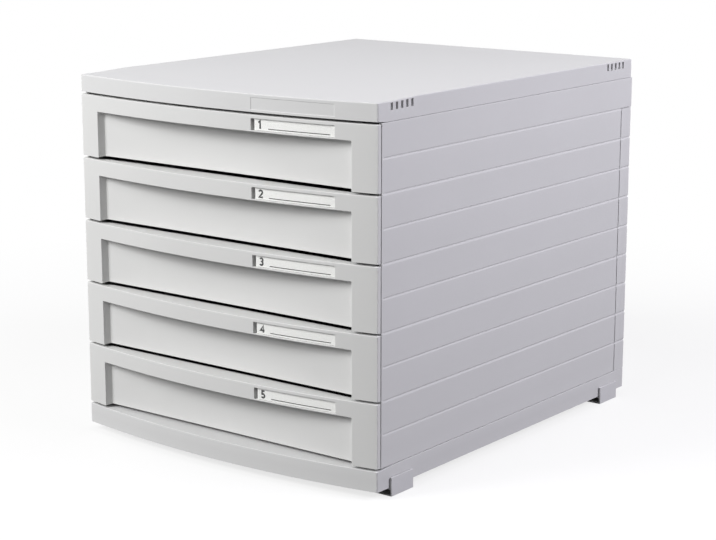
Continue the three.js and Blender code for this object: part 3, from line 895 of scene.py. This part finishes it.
# a plate with a swollen front and a skirt: a plan grid whose square corners are drawn in to arcs
# (each square ring round a corner becomes a ring of the same radius), then a skirt that leaves the
# grid's rim, turns down over an arc and runs along the rim's normals; dent moves skirt points in.
# The inner skin is the undented outer one, squeezed towards its own middle and its lower edge
def bowedPlate(x, y, edge, top, skirt, walls, lift, dent=None, trim=None):
    frontLine, rear, radius = case["cornerLine"] + edge, y[-1], case["cornerRadius"]
    gx, gy = np.meshgrid(x, y)
    for signX in (-1, 1):
        for nearFront in (True, False):
            cx = x[-1] - radius
            a = signX * gx - cx
            b = (frontLine + radius - gy) if nearFront else (gy - rear + radius)
            inside = (a > 0) & (b > 0)
            scale = np.where(inside, np.maximum(a, b) / np.maximum(np.hypot(a, b), tiny), 1)
            gx = np.where(inside, signX * (cx + a * scale), gx)
            drawn = (frontLine + radius - b * scale) if nearFront else (rear - radius + b * scale)
            gy = np.where(inside, drawn, gy)
    fade = np.clip(1 - (gy - frontLine) / bowFade, 0, 1)
    gy = gy + (bowAt(np.clip(gx, x[0], x[-1]), edge) - frontLine) * fade
    rows, columns = gx.shape
    index = np.arange(rows * columns).reshape(rows, columns)
    loop = np.concatenate([index[0, :-1], index[:-1, -1], index[-1, :0:-1], index[:0:-1, 0]])
    plate = np.stack([gx, gy, top + lift(gx, gy)], -1).reshape(-1, 3)
    rim = plate[loop]
    legs = (rim - np.roll(rim, 1, 0), np.roll(rim, -1, 0) - rim)
    normal = -mitred(*[leftNormals(leg) for leg in legs])
    turn = np.linspace(0, math.pi / 2, arcPoints)[1:, None]
    arcPlan = rim[:, :2] + (edge * np.sin(turn))[:, :, None] * normal
    arc = raisedPlan(arcPlan, rim[:, 2] - edge * (1 - np.cos(turn)))
    outline = arcPlan[-1]
    share = (skirt[0] - skirt[:, None]) / (skirt[0] - skirt[-1])
    down = raisedPlan(outline, arc[-1, :, 2] * (1 - share) + skirt[-1] * share)
    if trim:
        trim(down[-1])
    dented = down.copy()
    if dent:
        dented[:, :, :2] -= dent(outline)[:, :, None] * normal
    outer = np.concatenate([plate, arc.reshape(-1, 3), dented[1:].reshape(-1, 3)])
    inner = np.concatenate([plate, arc.reshape(-1, 3), down[1:].reshape(-1, 3)])
    low, middle = inner[:, 2].min(), (case["cornerLine"] + rear + edge) / 2
    inner[:, 0] *= 1 - walls[0] / case["half"]
    inner[:, 1] += (middle - inner[:, 1]) * walls[0] / (middle - case["cornerLine"])
    inner[:, 2] += (low - inner[:, 2]) * walls[1] / (top - low)
    rings = len(turn) + len(skirt) - 1
    table = np.concatenate([loop, len(plate) + np.arange(rings * len(loop))])
    sides = table[gridQuads(rings + 1, len(loop), closeColumns=True, flip=True)]
    quads = np.concatenate([gridQuads(rows, columns), sides])
    rim, count = table[-len(loop):], len(outer)
    after = np.roll(rim, -1)
    hem = np.stack([rim, rim + count, after + count, after], -1)
    return np.concatenate([outer, inner]), np.concatenate([quads, quads[:, ::-1] + count, hem]).tolist()


# places along a side of a plate from one end to the other, dense in its round corners
def cornered(low, high, steps, extra, *lines):
    turn = np.linspace(0, case["cornerRadius"], cornerPoints)
    plain = [low + turn, high - turn, np.linspace(low, high, steps)[1:-1], extra]
    return stations(np.concatenate(plain), *lines)


# the cover: a plate that slopes down to its front over a ramp, with slots over the feet and a name
# field in its skirt; behind the fronts the skirt goes lower, down to the side panels
def topCover():
    edge, top = lid["edge"], coverHigh.z
    slotShape = (lid["slotDraft"], lid["slotDepth"], lid["slotRadius"])
    fieldShape = (lid["fieldDraft"], lid["fieldRecess"], lid["fieldRadius"])
    spread = np.linspace(0, foot["length"] - lid["slotWidth"], lid["slots"])
    slots = [hollow(footFront + place, footFront + place + lid["slotWidth"], *slotShape)
             for footFront in footFronts for place in spread]
    slotHigh = top - lid["slotBelowTop"]
    slotLine = hollow(slotHigh - lid["slotHeight"], slotHigh, *slotShape)
    frontLow = case["coverLine"] - case["frontGap"] / 2 + case["endGap"]
    fieldHigh = top - lid["rampDrop"] - lid["fieldMargin"]
    field = hollow(label["left"], label["right"], *fieldShape)
    fieldLine = hollow(frontLow + lid["fieldMargin"], fieldHigh, *fieldShape)
    x, shareX = cornered(-case["half"] + edge, case["half"] - edge, lid["columns"], [], field)
    near, far = case["cornerLine"] + edge, case["rear"] - lid["rearSetback"] - edge
    ramp = case["cornerLine"] + np.array([lid["rampFront"], lid["rampBack"]])
    y, shareY = cornered(near, far, lid["rows"], [*ramp, *(ramp + lid["rampStep"])],
                         np.concatenate(slots, 1))
    skirt, shareZ = stations([frontLow, top - edge], slotLine, fieldLine)
    skirt, shareZ = skirt[::-1], shareZ[::-1]
    keep = skirt <= top - edge + tiny
    skirt, shareZ = skirt[keep], shareZ[keep]

    # down by the ramp's drop in front, by a falling share of it along the ramp
    def lift(gx, gy):
        return -lid["rampDrop"] * (1 - np.clip((gy - ramp[0]) / (ramp[1] - ramp[0]), 0, 1))

    # a slot's depth times its shares on the sides, and the name field's on the front
    def dent(outline):
        onSide = np.abs(outline[:, 0]) > case["half"] - lid["faceBand"]
        onFront = outline[:, 1] < case["cornerLine"] - lid["faceBand"]
        slot = np.interp(outline[:, 1], y, shareY[:, 0]) * onSide
        name = np.interp(outline[:, 0], x, shareX[:, 0]) * onFront
        return shareZ[:, 0:1] * slot * lid["slotDepth"] + shareZ[:, 1:2] * name * lid["fieldRecess"]

    # behind the fronts, down to the side panels' seam
    def trim(hem):
        hem[hem[:, 1] > sideLow.y, 2] = case["coverLine"] + case["seam"] / 2

    shell = bowedPlate(x, y, edge, top, skirt, lid["walls"], lift, dent, trim)
    addPiece("topCover", shell, casePlastic, "top_cover", "housing", lid["bevel"])


floorPlate = {
    "edge": 0.5 * mm,
    "step": 0.05 * mm,              # across the rise to the strip below a side panel
    "frontStep": 0.1 * mm,          # along it
    "hem": 0.3 * mm,
    "columns": 48,
    "rows": 20,
    "ribThick": 1.8 * mm,
    "ribDepth": 7 * mm,
    "ribInset": 48 * mm,
    "ribLap": 1 * mm,
    "ribRound": 0.3 * mm,
    "bevel": 0.2 * mm,
}


# the base: a plate that is raised to the side panels' seam below them, and two ribs each way below
def basePiece():
    edge, low, inner = floorPlate["edge"], baseLow.z, case["half"] - case["wall"]
    top = case["baseLine"] + case["frontGap"] / 2 - case["endGap"]
    step = inner + floorPlate["step"]
    x, _ = cornered(-case["half"] + edge, case["half"] - edge, floorPlate["columns"],
                    [-step, -inner, inner, step])
    y, _ = cornered(case["cornerLine"] + edge, case["rear"] - edge, floorPlate["rows"],
                    [sideLow.y, sideLow.y + floorPlate["frontStep"]])
    raised = case["endGap"] - case["frontGap"] / 2 - case["seam"] / 2
    skirt = np.array([top - edge, (top + low) / 2, low + floorPlate["hem"], low])

    # up to the seam, but only below the side panels
    def lift(gx, gy):
        outside = np.abs(gx) > inner + floorPlate["step"] / 2
        return raised * (outside & (gy > sideLow.y + floorPlate["frontStep"] / 2))

    shell = bowedPlate(x, y, edge, top, skirt, (case["wall"], case["wall"]), lift)
    addPiece("basePlate", shell, casePlastic, "base", "housing", floorPlate["bevel"])
    under = top - case["wall"]
    near, far, inset = case["cornerLine"], case["rear"] - case["wall"], floorPlate["ribInset"]
    ribs = [(inset - inner, 1, near, far), (inner - inset, 1, near, far),
            (near + inset, 0, -inner, inner), (far - inset, 0, -inner, inner)]
    bars = []
    for place, axis, start, end in ribs:
        outline = boxLoop(place, place + floorPlate["ribThick"], under - floorPlate["ribDepth"],
                          under + floorPlate["ribLap"], floorPlate["ribRound"])
        bars.append(barShell(outline, [start, end], axis))
    addPiece("baseRibs", joinShells(bars), casePlastic, None, "housing")


# a clip foot, carried along the case: a sole with a plate that stands up outside the case, a web
# with a plug inside the skirt, and a wall that closes the rear of the hollow between them
def clipFoot(sign, start, name, node):
    half, wall, lap, seat = case["half"], foot["wall"], foot["lap"], baseLow.z - case["seam"]
    plateIn = half + foot["gap"]
    plateOut = plateIn + foot["plate"]
    plugOut = half - case["wall"] - case["seam"]
    plugIn = half - foot["reach"]
    plugTop = case["baseLine"] + case["frontGap"] / 2 - case["endGap"] - case["wall"] - case["seam"]
    sole, web, rise = foot["sole"], seat - foot["web"], baseLow.z + foot["rise"]
    soleLoop = [(plugIn, 0), (plateOut, 0), (plateOut, rise), (plateIn, rise), (plateIn, sole),
                (plugIn, sole)]
    clipLoop = [(plugIn, sole - lap), (plugIn + wall, sole - lap), (plugIn + wall, web),
                (plateIn + lap, web), (plateIn + lap, seat), (plugOut, seat), (plugOut, plugTop),
                (plugOut - wall, plugTop), (plugOut - wall, seat), (plugIn + wall, seat),
                (plugIn + wall, plugTop), (plugIn, plugTop)]
    rearLoop = [(plugIn + lap, sole - lap), (plateIn + lap, sole - lap), (plateIn + lap, web + lap),
                (plugIn + lap, web + lap)]
    end = start + foot["length"]
    shells = []
    spans = ((soleLoop, start, end), (clipLoop, start, end), (rearLoop, end - wall, end - lap))
    for loop, near, far in spans:
        outline = roundedLoop([(sign * x, z) for x, z in loop], foot["round"])
        shells.append(barShell(outline, [near, far], 1))
    addPiece(name, joinShells(shells), footPlastic, node, "housing", foot["bevel"])


tray = {
    "wall": 2 * mm,
    "floorRaise": 1 * mm,
    "corner": 5 * mm,
    "cornerPoints": 7,
    "leastCorner": 0.3 * mm,        # of the rings on the floor
    "foot": 2.2 * mm,               # the turn from floor to wall
    "footPoints": 5,
    "floorRing": 6,                 # feet from the wall to the first ring on the floor
    "rearClearance": 4 * mm,
    "runClearance": 0.7 * mm,
    "flangeThick": 2 * mm,
    "flangePlay": 0.6 * mm,
    "nub": (5 * mm, 6.2 * mm, 1.5 * mm),  # length, height and play beside the panel
    "nubUnderRib": 0.5 * mm,
    "travel": 262 * mm,
    "lap": 1 * mm,                  # of a flange or nub into the tray's wall
    "round": 0.4 * mm,
    "bevel": 0.2 * mm,
}


# the tray: plan rings that run out over the floor, turn up over an arc and up the wall; the outer
# and the inner skin share their rings, and a round rim joins them
def drawerTray(number, floor):
    half = case["half"] - case["wall"] - side["ribReach"] - tray["runClearance"]
    near = case["cornerLine"] + front["ledgeBack"] + case["seam"]
    far = case["rear"] - case["wall"] - tray["rearClearance"]
    low, high = floor + tray["floorRaise"], floor + case["pitch"] - side["rim"]

    # a rectangle in plan, drawn in by the inset, with a quarter turn at each corner
    def ring(inset, radius):
        r, quarter = max(radius, tray["leastCorner"]), math.pi / 2
        right, first, last = half - inset - r, near + inset + r, far - inset - r
        middles = np.array([[right, first], [right, last], [-right, last], [-right, first]])
        t = np.linspace(0, quarter, tray["cornerPoints"]) + quarter * np.arange(-1, 3)[:, None]
        return circle(middles[:, None], r, t).reshape(-1, 2)

    turn = np.linspace(0, math.pi / 2, tray["footPoints"])
    wall, radius = tray["wall"], tray["foot"]
    rimLow, floorEnd = high - wall / 2, radius * tray["floorRing"]
    outside = [(floorEnd, low), *[(radius * (1 - math.sin(t)), low + radius * (1 - math.cos(t)))
                                  for t in turn], (0, rimLow)]
    rim = [(wall / 2 * (1 - math.cos(t)), rimLow + wall / 2 * math.sin(t)) for t in turn[1:]]
    rim += [(wall / 2 * (1 + math.cos(t)), rimLow + wall / 2 * math.sin(t)) for t in turn[::-1][1:]]
    inside = [(wall + inset, z + wall) for inset, z in outside[-2:0:-1]] + [(floorEnd, low + wall)]
    profile = outside + rim + inside
    plan = np.array([ring(inset, tray["corner"] - inset) for inset, z in profile])
    grid = raisedPlan(plan, np.array([[z] for inset, z in profile]))
    rings, columns = grid.shape[:2]
    quads = gridQuads(rings, columns, closeColumns=True)
    under = list(range(columns))[::-1]
    over = [(rings - 1) * columns + k for k in range(columns)]
    shells = [(grid, [*quads.tolist(), under, over])]

    # on both sides a flange that slides between two ribs, and a nub that meets the stop
    inner = case["half"] - case["wall"]
    runnerTop = high - tray["flangeThick"] - side["play"]
    nubLength, nubTall, nubPlay = tray["nub"]
    nubFront = sideLow.y + side["stopSetback"] + side["stop"][0] + tray["travel"] + case["seam"]
    nubTop = runnerTop - side["ribThick"] - tray["nubUnderRib"]
    spans = [(inner - tray["flangePlay"], high - tray["flangeThick"], high,
              near + tray["corner"], far - tray["corner"]),
             (inner - nubPlay, nubTop - nubTall, nubTop, nubFront, nubFront + nubLength)]
    for sign in (-1, 1):
        for reach, bottom, top, start, end in spans:
            outline = boxLoop(sign * (half - tray["lap"]), sign * reach, bottom, top, tray["round"])
            shells.append(barShell(outline, [start, end], 1))
    name = f"drawer{number}Tray"
    addPiece(name, joinShells(shells), trayPlastic, f"drawer_{number}_tray", f"drawer_{number}",
             tray["bevel"])


topCover()
basePiece()
sidePanel(-1, "leftSidePanel", "left_side_panel")
sidePanel(1, "rightSidePanel", "right_side_panel")
backPanel()
for sign, sideName in ((-1, "left"), (1, "right")):
    for start, endName in zip(footFronts, ("front", "rear")):
        clipFoot(sign, start, f"{endName}{sideName.capitalize()}Foot", f"{endName}_{sideName}_foot")
for number in range(1, case["drawers"] + 1):
    drawerTray(number, case["coverLine"] - number * case["pitch"])
print("case, feet and trays made")

# the studio: a pale floor, soft light and the camera of the photograph
cameraLook = {
    "lens": 94.31,
    "sensor": 36,
    "place": (0.8996, -1.1747, 0.4466),
    "azimuth": 37.53,
    "elevation": 12.47,
    "nearest": 0.05,
}
camera = bpy.data.objects.new("camera", bpy.data.cameras.new("camera"))
bpy.context.scene.collection.objects.link(camera)
camera.data.lens = cameraLook["lens"]
camera.data.sensor_width = cameraLook["sensor"]
camera.data.clip_start = cameraLook["nearest"]
camera.location = cameraLook["place"]
tilt, turn = 90 - cameraLook["elevation"], cameraLook["azimuth"]
camera.rotation_euler = (math.radians(tilt), 0, math.radians(turn))
bpy.context.scene.camera = camera

studio = {
    "floorSize": 6.0,
    "white": (1, 1, 1, 1),
    "worldStrength": 0.06,
    "floorGrey": "606060",
    "floorRough": 0.9,
    "floorSpecular": 0.1,
    "glowShare": 0.76,
    "shadeReach": (0.35, 0.8),      # how far from the middle the floor's own shade fades out
    "target": (0, 0, 0.12),         # what the lamps point at
}


# 1 for a ray that shows what it meets: straight from the camera, through clear plastic or off a gloss
def seenRays(tree):
    rays = tree.nodes.new("ShaderNodeLightPath")
    seen = rays.outputs["Is Camera Ray"]
    for kind in ("Is Transmission Ray", "Is Glossy Ray"):
        seen = combined(tree, "MAXIMUM", seen, rays.outputs[kind])
    return seen


# one shader where the share is 0 and another where it is 1
def mixedShader(tree, share, first, second):
    node = tree.nodes.new("ShaderNodeMixShader")
    tree.links.new(share, node.inputs["Fac"])
    tree.links.new(first, node.inputs[1])
    tree.links.new(second, node.inputs[2])
    return node.outputs["Shader"]


# the floor: a grey one lights the part from below, but the camera sees a white one, whose own shade
# counts for one part in a few near the object and for nothing far away
def floorPaper():
    material, tree, shader = nodeMaterial("floorPaper")
    shader.inputs["Base Color"].default_value = linear(studio["floorGrey"])
    shader.inputs["Roughness"].default_value = studio["floorRough"]
    shader.inputs["Specular IOR Level"].default_value = studio["floorSpecular"]
    shade = tree.nodes.new("ShaderNodeBsdfDiffuse")
    shade.inputs["Color"].default_value = studio["white"]
    glow = tree.nodes.new("ShaderNodeEmission")
    glow.inputs["Color"].default_value = studio["white"]
    away = tree.nodes.new("ShaderNodeVectorMath")
    away.operation = "LENGTH"
    tree.links.new(objectPlace(tree), away.inputs[0])
    share = remapped(tree, away.outputs["Value"], studio["shadeReach"], (studio["glowShare"], 1))
    white = mixedShader(tree, share, shade.outputs["BSDF"], glow.outputs["Emission"])
    floorShader = mixedShader(tree, seenRays(tree), shader.outputs["BSDF"], white)
    tree.links.new(floorShader, tree.nodes["Material Output"].inputs["Surface"])
    return material


size = studio["floorSize"]
floorMesh = bpy.data.meshes.new("floor")
floorCorners = [(-size, -size, 0), (size, -size, 0), (size, size, 0), (-size, size, 0)]
floorMesh.from_pydata(floorCorners, [], [(0, 1, 2, 3)])
floor = bpy.data.objects.new("floor", floorMesh)
bpy.context.scene.collection.objects.link(floor)
floorMesh.materials.append(floorPaper())

# a dim world lights the part, and the rays that show the background see a white one
world = bpy.data.worlds.new("studio")
bpy.context.scene.world = world
world.use_nodes = True
tree = world.node_tree
background = tree.nodes["Background"]
background.inputs["Color"].default_value = studio["white"]
background.inputs["Strength"].default_value = studio["worldStrength"]
seenWhite = tree.nodes.new("ShaderNodeBackground")
seenWhite.inputs["Color"].default_value = studio["white"]
worldShader = mixedShader(tree, seenRays(tree), background.outputs["Background"],
                          seenWhite.outputs["Background"])
tree.links.new(worldShader, tree.nodes["World Output"].inputs["Surface"])

lamps = {
    "key": {"place": (-0.8, -1.45, 1.0), "size": 0.8, "power": 24.5, "colour": (1, 1, 1)},
    "front": {"place": (-0.2, -1.35, 1.4), "size": 0.9, "power": 9.8, "colour": (1, 1, 1)},
    "side": {"place": (1.2, 0.3, 0.93), "size": 0.9, "power": 16.9, "colour": (0.93, 0.91, 1)},
    "left": {"place": (-1.6, 0.2, 0.45), "size": 0.8, "power": 6, "colour": (1, 1, 1)},
    "back": {"place": (0.0, 1.5, 0.25), "size": 0.5, "power": 7, "colour": (1, 1, 1)},
}
for name, look in lamps.items():
    lampData = bpy.data.lights.new(name, "AREA")
    lampData.shape = "SQUARE"
    lampData.size = look["size"]
    lampData.energy = look["power"]
    lampData.color = look["colour"]
    lamp = bpy.data.objects.new(name, lampData)
    bpy.context.scene.collection.objects.link(lamp)
    lamp.location = look["place"]
    lamp.rotation_euler = (Vector(studio["target"]) - lamp.location).to_track_quat("-Z", "Y").to_euler()

bpy.context.scene.view_settings.view_transform = "Standard"
print("studio set")
